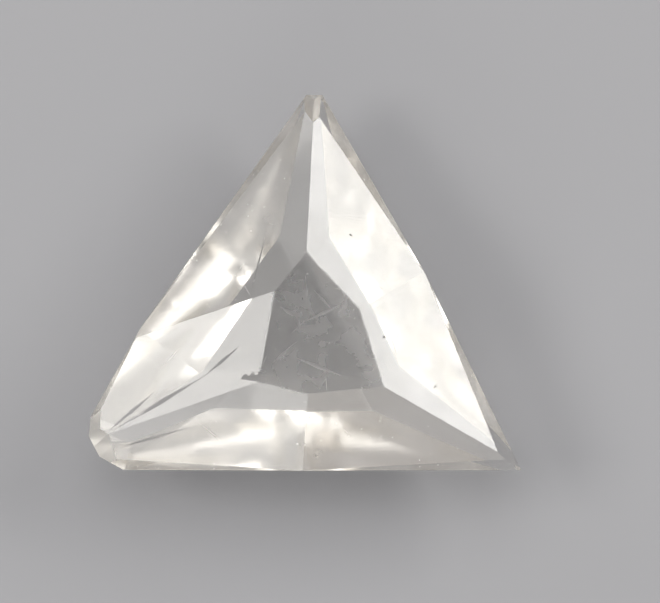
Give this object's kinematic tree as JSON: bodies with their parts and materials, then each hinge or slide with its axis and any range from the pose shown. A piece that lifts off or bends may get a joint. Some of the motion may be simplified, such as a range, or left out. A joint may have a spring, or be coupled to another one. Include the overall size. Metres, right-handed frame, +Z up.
{
  "type": "faceted barite gemstone",
  "caption": "Small clear barite crystal cut as a triangular gemstone, with a six-sided table, six crown facets, a worn corner and a pavilion tapering to the flat culet it stands on.",
  "frame": {"origin": "middle of the stone's plan outline, on the level of the flat culet that it stands on", "axes": "+Z up through the table, +Y towards the blunt top corner, +X along the base side"},
  "size_m": [0.0058, 0.005, 0.0021],
  "materials": {
    "barite": "polished, clear, lightly worn"
  },
  "bodies": {
    "root": {"gemstone": "barite"}
  },
  "joints": []
}
